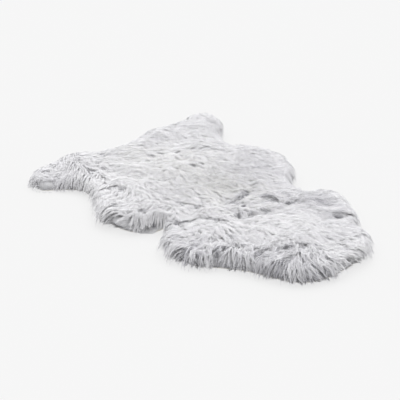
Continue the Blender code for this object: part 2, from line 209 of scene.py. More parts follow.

# Small partings in the coat, with painted shade in them
PARTINGS = table(
    # place, middle, half length, half width, how dark it is painted, as shade, turn from +X in degrees
    ("place", "at", "half", "dark", "turn"),
    ("thigh, far", (-0.188, 0.324), (0.009, 0.005), 1.0, -34),
    ("thigh, near", (-0.185, 0.269), (0.010, 0.004), 0.9, -60),
    ("thigh, right", (-0.154, 0.257), (0.010, 0.004), 1.0, -10),
    ("rump edge", (-0.107, 0.342), (0.012, 0.006), 0.7, -34),
    ("leg, far", (-0.262, 0.356), (0.014, 0.003), 0.7, -34),
    ("leg root", (-0.241, 0.210), (0.010, 0.005), 1.0, -50),
    ("rump, middle", (-0.026, 0.250), (0.010, 0.006), 1.0, -34),
    ("rump, beyond", (0.007, 0.267), (0.014, 0.007), 0.6, -20),
    ("hip, left", (0.085, 0.242), (0.010, 0.004), 0.8, -34),
    ("hip, right", (0.117, 0.234), (0.008, 0.006), 0.8, -34),
    ("back, first", (0.032, 0.144), (0.007, 0.004), 0.9, 0),
    ("back, second", (0.056, 0.139), (0.008, 0.004), 0.7, -20),
    ("back, third", (0.042, 0.119), (0.006, 0.003), 0.9, -50),
    ("flank, left", (-0.205, 0.136), (0.011, 0.004), 0.9, -60),
    ("flank, right", (-0.193, 0.106), (0.010, 0.004), 1.0, -60),
    ("belly", (-0.210, 0.031), (0.013, 0.004), 1.0, -50),
    ("belly, far", (-0.119, 0.098), (0.007, 0.004), 0.9, -34),
    ("belly, low", (-0.211, -0.009), (0.006, 0.003), 0.9, -50),
    ("belly, left", (-0.251, 0.054), (0.016, 0.006), 0.4, -80),
    ("waist, far", (-0.119, -0.034), (0.010, 0.004), 0.8, -34),
    ("waist, tongue", (-0.093, -0.075), (0.010, 0.005), 1.0, -34),
    ("tongue, left", (-0.052, 0.039), (0.020, 0.006), 0.5, -50),
    ("flank, soft", (-0.098, 0.166), (0.022, 0.008), 0.36, -50),
    ("tail, soft", (0.058, 0.345), (0.030, 0.008), 0.32, -15),
    ("front, left", (-0.123, -0.247), (0.006, 0.004), 1.0, -34),
    ("front, low", (-0.131, -0.280), (0.006, 0.004), 1.0, -60),
    ("foreleg, left", (-0.240, -0.224), (0.006, 0.004), 1.0, -34),
    ("foreleg, top", (-0.190, -0.208), (0.006, 0.004), 0.7, -60),
    ("foreleg, near", (-0.185, -0.274), (0.005, 0.006), 1.0, -34),
    ("throat", (-0.122, -0.346), (0.006, 0.006), 1.0, -34),
    ("neck, first", (-0.100, -0.337), (0.008, 0.005), 0.9, 0),
    ("neck, second", (-0.078, -0.353), (0.009, 0.005), 1.0, -60),
    ("neck, third", (-0.057, -0.370), (0.008, 0.005), 0.9, -20),
    ("neck, fourth", (-0.023, -0.371), (0.012, 0.005), 1.0, -34),
    ("neck, fifth", (0.012, -0.391), (0.012, 0.006), 1.0, -34),
    ("neck, right", (0.093, -0.386), (0.016, 0.007), 0.5, -34),
    ("neck, corner", (0.069, -0.433), (0.016, 0.007), 0.6, -34),
    ("right foreleg", (0.162, -0.213), (0.022, 0.012), 0.38, -34),
)
PARTING_DEPTH = 0.005
SHADE_WIDTH = 1.35           # how much wider the shade is than the hollow
UNEVEN_CREASE = {"size": 0.012, "least": 0.30, "usual": 0.95, "spread": 0.35}
RAGGED = {"least": 0.25, "usual": 0.90, "spread": 0.50}     # and how its shade breaks up along the wool
# Strands end where the shade grows past this, so many of them, and keep this share of their run at least
OPENED = {"from": 0.42, "share": 0.95, "least": 0.20, "steps": 8}
SHADE_TONE = 1.00            # how much darker the strands are painted there, as shade
# Pits: spots where the tousled wool opens, painted dark as shade
PIT_SHADE = {"size": 0.0045, "length": 0.006, "from": 1.5, "over": 0.5, "dark": 0.75, "tousle": (0.45, 0.85)}
SHADE_NAME = "shade"         # the undercoat's own measure of its painted shade, which the skin keeps too
DARKEST_SHADE = (0.34, 0.34, 0.36)     # share of its colour that it keeps under full painted shade

# Where the wool is tousled, from 0, combed smooth, to 1
TOUSLE_BASE = 0.32
TOUSLED = table(
    PLACED,
    ("left foreleg", (-0.220, -0.240), 0.050, 0.70),
    ("left throat", (-0.160, -0.340), 0.050, 0.75),
    ("neck, left", (-0.080, -0.400), 0.050, 0.60),
    ("neck end", (-0.030, -0.450), 0.040, 0.45),
    ("neck, right", (0.070, -0.440), 0.040, 0.25),
    ("waist", (-0.060, -0.130), 0.040, 0.60),
    ("waist, right", (0.070, -0.130), 0.050, 0.60),
    ("left belly", (-0.270, 0.000), 0.050, 0.40),
    ("hind leg", (-0.240, 0.290), 0.050, 0.30),
    ("tongue", (0.010, -0.040), 0.060, -0.32),
    ("right belly", (0.170, 0.060), 0.080, -0.32),
    ("right rump", (0.170, 0.320), 0.080, -0.20),
    ("shoulders", (0.050, -0.260), 0.060, -0.20),
)

# Direction in which the wool is combed: its tips point this way, in degrees from +X
COMB = table(
    ("place", "at", "angle", "radius"),
    ("left hind leg", (-0.265, 0.345), 165, 0.045),
    ("left rump", (-0.170, 0.320), -66, 0.070),
    ("tail", (-0.020, 0.330), -58, 0.090),
    ("right rump", (0.180, 0.370), -30, 0.080),
    ("left flank", (-0.140, 0.200), -66, 0.070),
    ("left belly", (-0.230, 0.060), -135, 0.050),
    ("back", (0.020, 0.170), -57, 0.100),
    ("right belly", (0.220, 0.080), -20, 0.070),
    ("tongue", (-0.005, 0.000), -85, 0.070),
    ("right waist", (0.120, -0.060), -75, 0.050),
    ("left waist", (-0.120, -0.020), -80, 0.050),
    ("belly, low", (-0.190, -0.010), -190, 0.030),
    ("left shoulder", (-0.125, -0.170), -60, 0.050),
    ("shoulders", (0.030, -0.220), -40, 0.070),
    ("right shoulder", (0.160, -0.220), -40, 0.050),
    ("right foreleg", (0.185, -0.145), 10, 0.040),
    ("right throat", (0.125, -0.350), -60, 0.040),
    ("neck end", (0.030, -0.400), -95, 0.040),
    ("left of neck", (-0.050, -0.360), -120, 0.040),
    ("left throat", (-0.115, -0.290), -115, 0.045),
    ("left foreleg", (-0.185, -0.215), -140, 0.040),
)
SWIRL = {"size": 0.045, "smooth": 8.0, "tousled": 28.0}   # width of uneven combing, its usual turn in degrees
# Distance inside the rim over which the wool turns to hang outward: where it is combed outward, and
# against that
DROOP_BAND = {"with": 0.065, "against": 0.018}
DROOP_PULL = 1.3             # how strongly it does
RIM_SWIRL = {"size": 0.032, "turn": 22.0}           # and of hanging wool
# How far hanging wool turns from straight outward, and how far on from there to its tip, in degrees
FANS = table(
    ("place", "at", "turn", "curl", "radius"),
    ("hind leg, near", (-0.265, 0.285), -80, 0, 0.045),
    ("hind leg, far", (-0.270, 0.395), 30, 0, 0.050),
    ("tail, left", (-0.100, 0.400), -22, 0, 0.070),
    ("tail, right", (0.080, 0.430), -30, 0, 0.070),
    ("foreleg tip", (-0.250, -0.210), -55, 20, 0.035),
    ("foreleg", (-0.200, -0.285), 40, -70, 0.028),
    ("throat", (-0.150, -0.350), 38, -50, 0.028),
    ("throat, neck", (-0.100, -0.405), -38, 50, 0.030),
    ("neck, left", (-0.035, -0.455), -20, 50, 0.030),
    ("neck end", (0.020, -0.470), 35, -20, 0.035),
    ("neck corner", (0.080, -0.455), 60, 0, 0.035),
    ("belly, near", (-0.275, -0.020), -55, 20, 0.040),
    ("belly, left", (-0.300, 0.060), -40, 20, 0.040),
    ("belly, low", (-0.197, -0.040), -60, 0, 0.026),
)

# Levels are heights as shares of the cover
GUIDE_SHARES = (0.0, 0.2, 0.4, 0.6, 0.8, 1.0)       # points of a staple's guide from root to tip
COAT = {
    # the staples that stand on the skin and lie over its top
    "spacing": 0.0062,
    "reach": 0.038,
    "past_rim": 0.014,       # how far past the rim their middles may lie
    "levels": (0.80, 0.93, 1.00, 1.02, 1.01, 0.99),
}
WALL = {
    # the staples at the rim, in rows one above the other
    "spacing": 0.0046,
    "rows": 9,
    "lowest": 0.04,
    "highest": 0.94,
    "inset": (0.001, 0.010),
    "reach": (0.016, 0.052),                           # of the lowest row and of the highest
    "levels": (0.98, 1.02, 1.03, 1.02, 0.98, 0.92),    # as shares of a row's own level
}
# Share of the way past the rim at which wool meets the floor: the lowest, and all wool from a level upward
FALL = {"lowest": 0.42, "full": 0.98, "level": 0.85}
FALL_ROOM = 0.15             # share of the way to there over which its steps grow short
# Uphill slope from which a guide's steps grow shorter, and by how much
CLIMB = {"from": 0.25, "over": 0.5, "slower": 0.7}
REACH_RANGE = (0.012, 0.070)
NEAR_RIM = 0.014             # staples rooted so near the rim hang over it
RIPPLE_WOOL = {
    # on the ripple: how far past the rim it counts, how far its wool falls, how much shorter it is, and from
    # what lift and below what level there is none
    "edge": -0.010, "most": 0.30, "shorter": 0.55, "bare": 0.04, "level": 0.75,
}
SPREAD = {
    # usual departure of a staple from its neighbours, where smooth and where tousled
    "place": 0.32,           # in spacings
    "reach": (0.10, 0.16),   # as a share
    "turn": (6.0, 13.0),     # degrees
    "curl": (8.0, 20.0),     # degrees from root to tip
    "level": (0.006, 0.022),
}
TUFTS = {
    # larger tufts of staples that lie their own way, and patches of paler and darker wool
    "size": 0.014, "turn": (10.0, 14.0), "reach": (0.05, 0.10), "level": (0.006, 0.018), "curl": (6.0, 22.0),
}
BLOTCH = {"size": 0.006, "length": 0.014, "tone": (0.05, 0.10)}    # where smooth and where tousled
OWN_TONE = (0.05, 0.12)      # a staple's own
TONE_SPREAD = (0.45, 1.8)    # of its strands, as shares of their usual spread
STAPLE_RADIUS = 0.0038, 0.0028      # of its root, over which its strands stand: on the top and at the rim
SHORTER = 0.35               # share by which wisps are shorter where the wool is tousled
LONGEST = 1.06               # share of the guide at which a strand ends at the latest
RIM_ZONE = {"edge": 0.034, "tousle": 0.62}             # near the rim, or as tousled as that
STRANDS = (
    # where; how many to a staple; how far along the guide they start, and what share of it they run; points
    # along each and its radius there; how far they draw together at the tip where smooth and where tousled;
    # how far they rise and how unevenly; how far their tips stray, in metres; their tone and its spread
    {"kind": "lock", "where": "rim", "each": 2.2, "start": (0.0, 0.0), "run": (1.0, 1.0),
     "points": (0.0, 0.36, 0.72, 1.0), "radius": (0.0005, 0.0006, 0.00045, 0.0),
     "pull": (0.10, 0.62), "rise": 0.0, "uneven": (0.006, 0.020), "stray": (0.0, 0.0),
     "tone": 0.55, "tone_spread": 0.12, "parts": ("neck", "middle", "rump")},
    {"kind": "strand", "where": "top", "each": 1.2, "start": (0.0, 0.10), "run": (0.80, 0.90),
     "points": (0.0, 0.50, 1.0), "radius": (0.0005, 0.0006, 0.0),
     "pull": (0.10, 0.50), "rise": 0.0, "uneven": (0.006, 0.020), "stray": (0.0, 0.0),
     "tone": 0.58, "tone_spread": 0.12, "parts": ("all",)},
    {"kind": "wisp", "where": "all", "each": 8.3, "start": (0.02, 0.66), "run": (0.38, 0.52),
     "points": (0.0, 1.0), "radius": (0.00034, 0.0),
     "pull": (0.0, 0.55), "rise": 0.018, "uneven": (0.008, 0.022), "stray": (0.0012, 0.0024),
     "tone": 0.70, "tone_spread": 0.18, "parts": ("neck", "waist", "belly", "rump")},
)
LOCK_SIDES = 3
GIRTH = (0.75, 1.25)         # of a strand, as a share of its usual radius
FLOOR_GAP = 0.0003
# A strand's share of its column on the wool's map, and its margins there
MAP = {"across": 0.9, "side": 0.05, "along": 0.98, "end": 0.01}
SOFTEN = 0.70                # share of the cover's own slope in the shading of a strand
STEEPEST = 1.7               # slope of the cover at most, for that
TONES = 16                   # columns of the wool's map for each tint, from the darkest wool to the lightest
TINTS = 3                    # silver, the slightly warmer wool of the middle of the back, and tips painted dark as shade
PAINTED_TIP_SHADE = (0.36, 0.36, 0.38)    # share of its colour that a tip keeps in a crease, as painted shade
WHITE = (1.0, 1.0, 1.0)
# Colours of the wool from the darkest tone to the lightest, and its painted shade from root to tip
SILVER_TONES = ((0.0, (0.42, 0.415, 0.45)), (0.20, (0.72, 0.715, 0.745)),
                (0.55, (0.865, 0.862, 0.885)), (1.0, (0.965, 0.963, 0.975)))
WARM_TONES = ((0.0, (0.40, 0.40, 0.39)), (0.20, (0.70, 0.70, 0.685)),
              (0.55, (0.84, 0.84, 0.825)), (1.0, (0.94, 0.94, 0.925)))
SHADE_ALONG_STRAND = ((0.0, (0.80, 0.80, 0.81)), (0.35, (0.96, 0.96, 0.96)), (1.0, WHITE))
SUEDE = {"dark": (0.72, 0.70, 0.64), "light": (0.88, 0.86, 0.81), "scale": 60.0,
         "bump_distance": 0.0003, "roughness": 0.85}
# The undercoat is darker than the strands: painted shade of the deep wool between them
DENSE_WOOL = {"dark": (0.64, 0.64, 0.655), "light": (0.78, 0.78, 0.795), "scale": 220.0,
              "bump_distance": 0.002, "roughness": 0.9}
MIX_COLOURS, MIX_RESULT = (6, 7), 2                  # a mix node's sockets for colours
WARM = table(
    # share of the wool there that is warm
    PLACED,
    ("tongue", (0.010, -0.030), 0.060, 0.80),
    ("back", (0.020, 0.140), 0.080, 0.50),
    ("tail", (-0.050, 0.290), 0.060, 0.30),
)
UNDER_BELLY = {
    # at the near side of the belly the upper wool ends in an eave, over a slit with painted shade and a pale
    # foot
    "at": (-0.203, -0.030), "half": (0.024, 0.020), "turn": -44,
    "height": 0.018,         # of the eave
    "slit": (0.25, 0.50),    # levels with no wool
    "tone": 0.30,            # of the foot
    "most": 0.60,            # how far past the rim the eave reaches, as a share
}
PAINTED_LIGHT_AND_SHADE = table(
    # how much paler the wool is there, in tone: painted light where it is paler and painted shade where it is
    # darker
    PLACED,
    ("left flank", (-0.170, 0.180), 0.090, 0.36),
    ("belly", (-0.210, 0.040), 0.060, 0.20),
    ("belly rim", (-0.285, 0.000), 0.040, 0.20),
    ("back", (0.020, 0.200), 0.080, 0.20),
    ("waist", (-0.120, -0.110), 0.060, 0.25),
    ("front", (0.000, -0.230), 0.080, 0.28),
    ("neck, right", (0.080, -0.440), 0.040, 0.54),
    ("tongue", (0.040, 0.000), 0.070, -0.36),
    ("right belly", (0.190, 0.070), 0.060, -0.24),
    ("right foreleg", (0.160, -0.190), 0.050, -0.38),
    ("near foreleg", (-0.230, -0.270), 0.040, -0.24),
    ("near throat", (-0.150, -0.370), 0.040, -0.40),
    ("near neck", (-0.070, -0.440), 0.040, -0.20),
    ("hind leg, near", (-0.265, 0.285), 0.030, -0.30),
    ("foreleg rim, far", (0.245, -0.200), 0.035, 0.35),
    ("belly rim, far", (0.275, 0.070), 0.035, 0.30),
)


def between(pair, share):
    """A value from a pair: the first where share is 0, the second where it is 1."""
    return pair[0] + (pair[1] - pair[0]) * share


class PlanGrid:
    """A square grid over the plan. A field on it is an array with a row for each step along +Y."""

    def __init__(self, low, high, cell):
        self.low = np.array(low[:2], float)
        self.cell = cell
        self.columns, self.rows = (int(math.ceil((high[axis] - low[axis]) / cell)) + 1 for axis in (0, 1))

    def points(self):
        across = self.low[0] + self.cell * np.arange(self.columns)
        along = self.low[1] + self.cell * np.arange(self.rows)
        return np.stack(np.meshgrid(across, along), axis=-1)

    def read(self, field, points):
        """The field's value at each point, between the grid's own points."""
        place = (points - self.low) / self.cell
        column = np.clip(place[..., 0], 0, self.columns - 1.001)
        row = np.clip(place[..., 1], 0, self.rows - 1.001)
        left, below = column.astype(int), row.astype(int)
        right_share, above_share = column - left, row - below
        lower = field[below, left] * (1 - right_share) + field[below, left + 1] * right_share
        upper = field[below + 1, left] * (1 - right_share) + field[below + 1, left + 1] * right_share
        return lower * (1 - above_share) + upper * above_share

    def blurred(self, field, radius):
        reach = max(1, int(round(2.5 * radius / self.cell)))
        offsets = np.arange(-reach, reach + 1)
        weights = np.exp(-0.5 * (offsets * self.cell / radius) ** 2)
        weights /= weights.sum()
        for axis in (0, 1):
            padding = [(reach, reach) if side == axis else (0, 0) for side in (0, 1)]
            padded = np.pad(field, padding, mode="edge")
            count = field.shape[axis]
            field = sum(weight * np.take(padded, range(start, start + count), axis=axis)
                        for start, weight in enumerate(weights))
        return field

    def rough(self, size, chance):
        """A smooth random field with features about this wide and a usual value of 1."""
        field = self.blurred(chance.standard_normal((self.rows, self.columns)), size / 2)
        return field / field.std()

    def swept(self, field, way, length):
        """The field drawn out along the directions that way gives, a pair of fields."""
        total = field.copy()
        for sign in (-1, 1):
            place = self.points()
            for _ in range(int(length / self.cell / 2)):
                step = np.stack([self.read(part, place) for part in way], axis=-1)
                place = place + sign * self.cell * step
                total += self.read(field, place)
        return total / total.std()


def tree_of(node):
    mesh = node.data
    return BVHTree.FromPolygons([v.co for v in mesh.vertices], [p.vertices for p in mesh.polygons])


def heights_from_above(tree, points, start=0.5):
    """Height of the surface under each point, or nan where there is none."""
    down = Vector((0, 0, -1))
    found = np.full(len(points), np.nan)
    for index, (x, y) in enumerate(points):
        hit = tree.ray_cast(Vector((x, y, start)), down)[0]
        if hit is not None:
            found[index] = hit.z
    return found


def skin_rim(hide):
    """The skin's outline from above as a closed row of points, anticlockwise."""
    shape = bmesh.new()
    shape.from_mesh(hide.data)
    bmesh.ops.remove_doubles(shape, verts=shape.verts, dist=1e-5)
    shape.verts.index_update()
    shape.normal_update()
    under = {face for face in shape.faces if face.normal.z < -0.5}
    follow = {}
    for face in under:
        for loop in face.loops:
            if sum(other in under for other in loop.edge.link_faces) == 1:
                follow[loop.vert.index] = loop.link_loop_next.vert.index
    shape.verts.ensure_lookup_table()
    start = min(follow)
    chain = [start]
    while follow[chain[-1]] != start:
        chain.append(follow[chain[-1]])
    rim = np.array([shape.verts[index].co.xy[:] for index in chain])
    shape.free()
    return rim if signed_area(rim) > 0 else rim[::-1]


def signed_area(loop):
    after = np.roll(loop, -1, axis=0)
    return 0.5 * float(np.sum(loop[:, 0] * after[:, 1] - loop[:, 1] * after[:, 0]))


def smooth_closed(points, times):
    """A Catmull-Rom curve through a closed row of points, with this many steps to each."""
    before, after, next_but_one = np.roll(points, 1, 0), np.roll(points, -1, 0), np.roll(points, -2, 0)
    steps = []
    for step in range(times):
        t = step / times
        steps.append(0.5 * (2 * points + (after - before) * t
                            + (2 * before - 5 * points + 4 * after - next_but_one) * t ** 2
                            + (3 * points - before - 3 * after + next_but_one) * t ** 3))
    return np.stack(steps, axis=1).reshape(-1, points.shape[1])


def outward_normals(rim):
    along = np.roll(rim, -1, 0) - np.roll(rim, 1, 0)
    normals = np.stack([along[:, 1], -along[:, 0]], axis=1)
    return normals / np.linalg.norm(normals, axis=1, keepdims=True)


def swell(points, at, half, turn=0.0):
    """1 at a place, falling smoothly to nothing past its half sizes."""
    offset = points - np.array(at)
    angle = math.radians(turn)
    along = offset[..., 0] * math.cos(angle) + offset[..., 1] * math.sin(angle)
    across = offset[..., 1] * math.cos(angle) - offset[..., 0] * math.sin(angle)
    return np.exp(-((along / half[0]) ** 2 + (across / half[1]) ** 2))


def total_swell(rows, points):
    """The sum of the rows' amounts, each round its own place."""
    return sum(row["amount"] * swell(points, row["at"], (row["radius"] * math.sqrt(2),) * 2) for row in rows)


def crease(points, line, half):
    """Two fields: the depth of a groove along a line, from 0 to 1, and of the ridge on its left."""
    best = np.full(points.shape[:2], np.inf)
    side = np.zeros(points.shape[:2])
    share = np.zeros(points.shape[:2])
    for number, (start, end) in enumerate(zip(line, line[1:])):
        start, way = np.array(start), np.array(end) - np.array(start)
        length = np.hypot(*way)
        offset = points - start
        along = np.clip(offset @ way / length ** 2, 0.0, 1.0)
        away = np.linalg.norm(offset - along[..., None] * way, axis=-1)
        nearer = away < best
        left = (offset[..., 1] * way[0] - offset[..., 0] * way[1]) / length
        best = np.where(nearer, away, best)
        side = np.where(nearer, left, side)
        share = np.where(nearer, (number + along) / (len(line) - 1), share)
    taper = np.sqrt(np.clip(4 * share * (1 - share), 0.0, 1.0)) * 0.8 + 0.2
    groove = np.exp(-(best / half) ** 2) * taper
    behind = np.exp(-((side - LIP["middle"] * half) / (LIP["width"] * half)) ** 2)
    ridge = behind * np.exp(-((best - np.abs(side)) / half) ** 2) * taper
    return groove, ridge


def smooth_step(share):
    share = np.clip(share, 0.0, 1.0)
    return share * share * (3 - 2 * share)


class Pelt:
    """The pelt's fields: how far a point is from the rim, how deep the wool is and which way it lies."""

    def __init__(self, nodes, chance):
        low, high = cad_box
        self.grid = PlanGrid([low[i] - MARGIN for i in (0, 1)], [high[i] + MARGIN for i in (0, 1)], CELL)
        self.rim = smooth_closed(skin_rim(nodes["hide"]), RIM_FINE)
        self.rim_normals = outward_normals(self.rim)
        points = self.grid.points()
        flat = points.reshape(-1, 2)
        shape = points.shape[:2]
        self.nearest, distance = self.nearest_rim(flat)
        skin = heights_from_above(tree_of(nodes["hide"]), flat)
        inside = ~np.isnan(skin)
        self.edge = np.where(inside, distance, -distance).reshape(shape)
        self.inside = inside.reshape(shape)
        self.lift = self.lift_at(points)
        self.make_tousle(points)
        self.make_cover(nodes["fleece"], flat, shape)
        self.make_way(points, shape, chance)
        self.add_relief(points, chance)
        self.make_slope()

    def nearest_rim(self, points):
        tree = kdtree.KDTree(len(self.rim))
        for index, (x, y) in enumerate(self.rim):
            tree.insert((x, y, 0), index)
        tree.balance()
        found = [tree.find((x, y, 0))[1:] for x, y in points]
        return np.array([index for index, _ in found]), np.array([distance for _, distance in found])

    def lift_at(self, points):
        """How far the skin is off the floor: a soft tent at the left waist."""
        nearest = np.argmin(np.linalg.norm(self.rim - np.array(RIPPLE["at"]), axis=1))
        normal = self.rim_normals[nearest]
        offset = points - self.rim[nearest]
        along = np.abs(offset @ np.array([-normal[1], normal[0]])) / RIPPLE["along"]
        inward = np.maximum(0.0, -(offset @ normal)) / RIPPLE["inward"]
        tent = np.clip(1.0 - along, 0.0, 1.0)
        tent = tent * tent * (2.2 - 1.2 * tent)
        return RIPPLE["height"] * tent * np.exp(-inward ** 2)

    def make_tousle(self, points):
        self.tousle = np.clip(TOUSLE_BASE + total_swell(TOUSLED, points), 0.0, 1.0)

    def make_cover(self, fleece, flat, shape):
        """Depth of the wool over the skin, and how it falls off past the rim."""
        top = heights_from_above(tree_of(fleece), flat).reshape(shape)
        known = self.inside & ~np.isnan(top)
        depth = np.where(known, np.nan_to_num(top) - SKIN_THICKNESS - self.lift, 0.0)
        weight = self.grid.blurred(known.astype(float), COVER_BLUR)
        depth = self.grid.blurred(depth, COVER_BLUR) / np.maximum(weight, 1e-3)
        at_rim = self.grid.read(depth, self.rim - self.rim_normals * RIM_READ["inset"])
        near = RIM_READ["points"]
        kernel = np.hanning(2 * near + 1)
        kernel /= kernel.sum()
        wrapped = np.concatenate([at_rim[-near:], at_rim, at_rim[:near]])
        self.rim_depth = np.convolve(wrapped, kernel, mode="valid")
        from_rim = self.rim_depth[self.nearest].reshape(shape)
        lifted = self.lift_at(self.rim)[self.nearest].reshape(shape) / RIPPLE["height"]
        fuller = 1 + total_swell(OVERHANGS, self.rim)[self.nearest].reshape(shape)
        reach = OVERHANG * from_rim / FULL_DEPTH * (1 - RIPPLE["bare"] * lifted) * fuller
        reach = np.maximum(reach, LEAST_OVERHANG)
        past = np.clip(-self.edge / reach, 0.0, 1.0)
        fallen = from_rim * np.sqrt(1.0 - past ** 2)
        blend = np.clip(self.edge / RIM_READ["blend"], 0.0, 1.0)
        self.cover = np.where(self.inside, depth * blend + from_rim * (1 - blend), fallen)
        self.cover *= 1 - total_swell(THIN, flat).reshape(shape)
        self.fallen = past
        self.base = (SKIN_THICKNESS + self.lift) * (1.0 - past)
        held = np.exp(-(np.minimum(self.edge, 0.0) / RIPPLE["eave"]) ** 2)
        self.eave = (self.lift + SKIN_THICKNESS * np.clip(self.lift / SKIN_THICKNESS, 0.0, 1.0)) * held
        under_belly = swell(self.rim, *(UNDER_BELLY[key] for key in ("at", "half", "turn")))
        self.under_belly = np.clip(1.6 * under_belly, 0.0, 1.0)[self.nearest].reshape(shape)

    def make_way(self, points, shape, chance):
        """The direction in which the wool lies: as combed, or hanging outward near the rim."""
        normals = self.rim_normals[self.nearest].reshape(shape + (2,))
        across, along = (self.grid.blurred(normals[..., axis], DIRECTION_BLUR) for axis in (0, 1))
        outward_angle = np.arctan2(along, across)
        comb = np.zeros(points.shape)
        for row in COMB:
            weight = np.exp(-0.5 * np.sum((points - np.array(row["at"])) ** 2, axis=-1) / row["radius"] ** 2)
            angle = math.radians(row["angle"])
            comb += (weight + 1e-6)[..., None] * np.array([math.cos(angle), math.sin(angle)])
        comb_angle = np.arctan2(comb[..., 1], comb[..., 0])
        swirl = between((SWIRL["smooth"], SWIRL["tousled"]), self.tousle)
        comb_angle += np.radians(swirl * self.grid.rough(SWIRL["size"], chance))
        agreement = 0.5 + 0.5 * np.cos(comb_angle - outward_angle)
        self.curl = np.zeros(shape)
        for row in FANS:
            here = swell(points, row["at"], (row["radius"] * math.sqrt(2),) * 2)
            outward_angle += math.radians(row["turn"]) * here
            self.curl += row["curl"] * here
        outward_angle += np.radians(RIM_SWIRL["turn"] * self.grid.rough(RIM_SWIRL["size"], chance))
        band = between((DROOP_BAND["against"], DROOP_BAND["with"]), agreement)
        droop = smooth_step(1.0 - self.edge / band)
        x = np.cos(comb_angle) * (1 - droop) + np.cos(outward_angle) * droop * DROOP_PULL
        y = np.sin(comb_angle) * (1 - droop) + np.sin(outward_angle) * droop * DROOP_PULL
        x, y = (self.grid.blurred(part, DIRECTION_BLUR) for part in (x, y))
        length = np.maximum(np.hypot(x, y), 1e-6)
        self.way = x / length, y / length
        self.curl *= droop

    def add_relief(self, points, chance):
        """Soft swellings, ridges along the combing, creases and the small partings, with painted shade in
        these and in pits.
        """
        kept = np.sqrt(1 - RELIEF_LOST * self.fallen)
        self.cover += PUFFS["height"] * kept * self.grid.rough(PUFFS["size"], chance)
        ridges = self.grid.swept(self.grid.rough(RIDGES["size"], chance), self.way, RIDGES["length"])
        height = between((RIDGES["smooth"], RIDGES["tousled"]), self.tousle) * kept
        self.cover += height * ridges
        at_rim = np.clip(self.edge / FILL_RIM["width"], FILL_RIM["least"], 1.0)
        for row in FILLS:
            self.cover += row["height"] * at_rim * swell(points, row["at"], row["half"], row["turn"])
        self.shade = np.zeros(points.shape[:2])
        ragged = np.maximum(RAGGED["usual"] + RAGGED["spread"] * ridges, RAGGED["least"])
        uneven = self.grid.rough(UNEVEN_CREASE["size"], chance) * UNEVEN_CREASE["spread"]
        uneven = np.maximum(UNEVEN_CREASE["usual"] + uneven, UNEVEN_CREASE["least"])
        for row in CREASES:
            groove, ridge = crease(points, row["line"], row["half"])
            self.cover += row["lip"] * ridge - row["depth"] * groove * np.minimum(uneven, 1.0)
            groove, _ = crease(points, row["line"], row["half"] * SHADE_WIDTH)
            self.shade += row["dark"] * groove * uneven * between((1.0, ragged), row["dark"])
        for row in PARTINGS:
            self.cover -= PARTING_DEPTH * row["dark"] * swell(points, row["at"], row["half"], row["turn"])
            wider = [size * SHADE_WIDTH for size in row["half"]]
            here = swell(points, row["at"], wider, row["turn"])
            self.shade += row["dark"] * here * between((1.0, ragged), row["dark"])
        # painted shade in pits: random spots where the tousled wool opens
        shaded_pits = self.grid.swept(self.grid.rough(PIT_SHADE["size"], chance), self.way, PIT_SHADE["length"])
        low, high = PIT_SHADE["tousle"]
        tousled = smooth_step((self.tousle - low) / (high - low))
        shaded_pits = np.clip((shaded_pits - PIT_SHADE["from"]) / PIT_SHADE["over"], 0.0, 1.0) * tousled
        self.shade = np.clip(self.shade + PIT_SHADE["dark"] * shaded_pits, 0.0, 1.0)
        self.cover = np.where(self.fallen < 1, np.maximum(self.cover, LEAST_COVER), 0.0)

    def make_slope(self):
        top = self.grid.blurred(self.base + self.cover, COVER_BLUR)
        along, across = np.gradient(top, CELL)
        steepness = np.hypot(along, across)
        held = np.minimum(1.0, STEEPEST / np.maximum(steepness, 1e-6))
        self.slope = across * held, along * held

    def heading(self, points, turn):
        """The direction in which wool at these points lies, turned by its own angle."""
        x, y = (self.grid.read(part, points) for part in self.way)
        angle = np.arctan2(y, x) + np.radians(turn)
        return np.stack([np.cos(angle), np.sin(angle)], axis=-1)

    def height(self, points, level, most=1.0, held=0.0):
        """Height of wool at a level, where it meets the floor at its own share of the way past the rim."""
        past = self.grid.read(self.fallen, points)
        fall = np.sqrt(np.clip(1 - (past / most) ** 2, 0.0, 1.0) / np.clip(1 - past ** 2, 0.02, 1.0))
        height = self.grid.read(self.base, points) + self.grid.read(self.cover, points) * level * fall
        height = np.maximum(height, self.grid.read(self.eave, points))
        return np.maximum(height, self.grid.read(self.under_belly, points) * UNDER_BELLY["height"] * held)

    def facing(self, points):
        """Unit normals of the top of the coat."""
        across, along = (self.grid.read(part, points) for part in self.slope)
        return unit(np.stack([-across, -along, np.ones_like(across)], axis=-1))


def unit(vectors):
    return vectors / np.maximum(np.linalg.norm(vectors, axis=-1, keepdims=True), 1e-9)


def even_places(pelt, spacing, past_rim, chance):
    """Uneven places all over the skin and a little past its rim, on a jittered triangular grid."""
    places = triangular_grid(pelt.rim.min(axis=0) - past_rim, pelt.rim.max(axis=0) + past_rim, spacing)
    places += chance.normal(0, SPREAD["place"] * spacing, places.shape)
    return places[pelt.grid.read(pelt.edge, places) > -past_rim]


def wall_places(pelt, count, chance):
    """Root places round the rim, in rows, and the level of each."""
    roots, levels = [], []
    for row in range(WALL["rows"]):
        at = (np.arange(count) + 0.5 * (row % 2) + chance.uniform(-0.4, 0.4, count)) / count * len(pelt.rim)
        index = at.astype(int) % len(pelt.rim)
        inset = chance.uniform(*WALL["inset"], count)[:, None]
        roots.append(pelt.rim[index] - pelt.rim_normals[index] * inset)
        level = between((WALL["lowest"], WALL["highest"]), row / (WALL["rows"] - 1))
        levels.append(level + chance.normal(0, 0.04, count))
    return np.concatenate(roots), np.concatenate(levels)


def roots_behind(pelt, places, reach):
    """Where wool that passes over each place is rooted: half a reach back against its lie, on the skin."""
    steps = 4
    for _ in range(steps):
        behind = places - pelt.heading(places, 0.0) * (0.5 * reach / steps)
        moves = pelt.grid.read(pelt.edge, behind) > np.minimum(0.001, pelt.grid.read(pelt.edge, places))
        places = np.where(moves[:, None], behind, places)
    return places


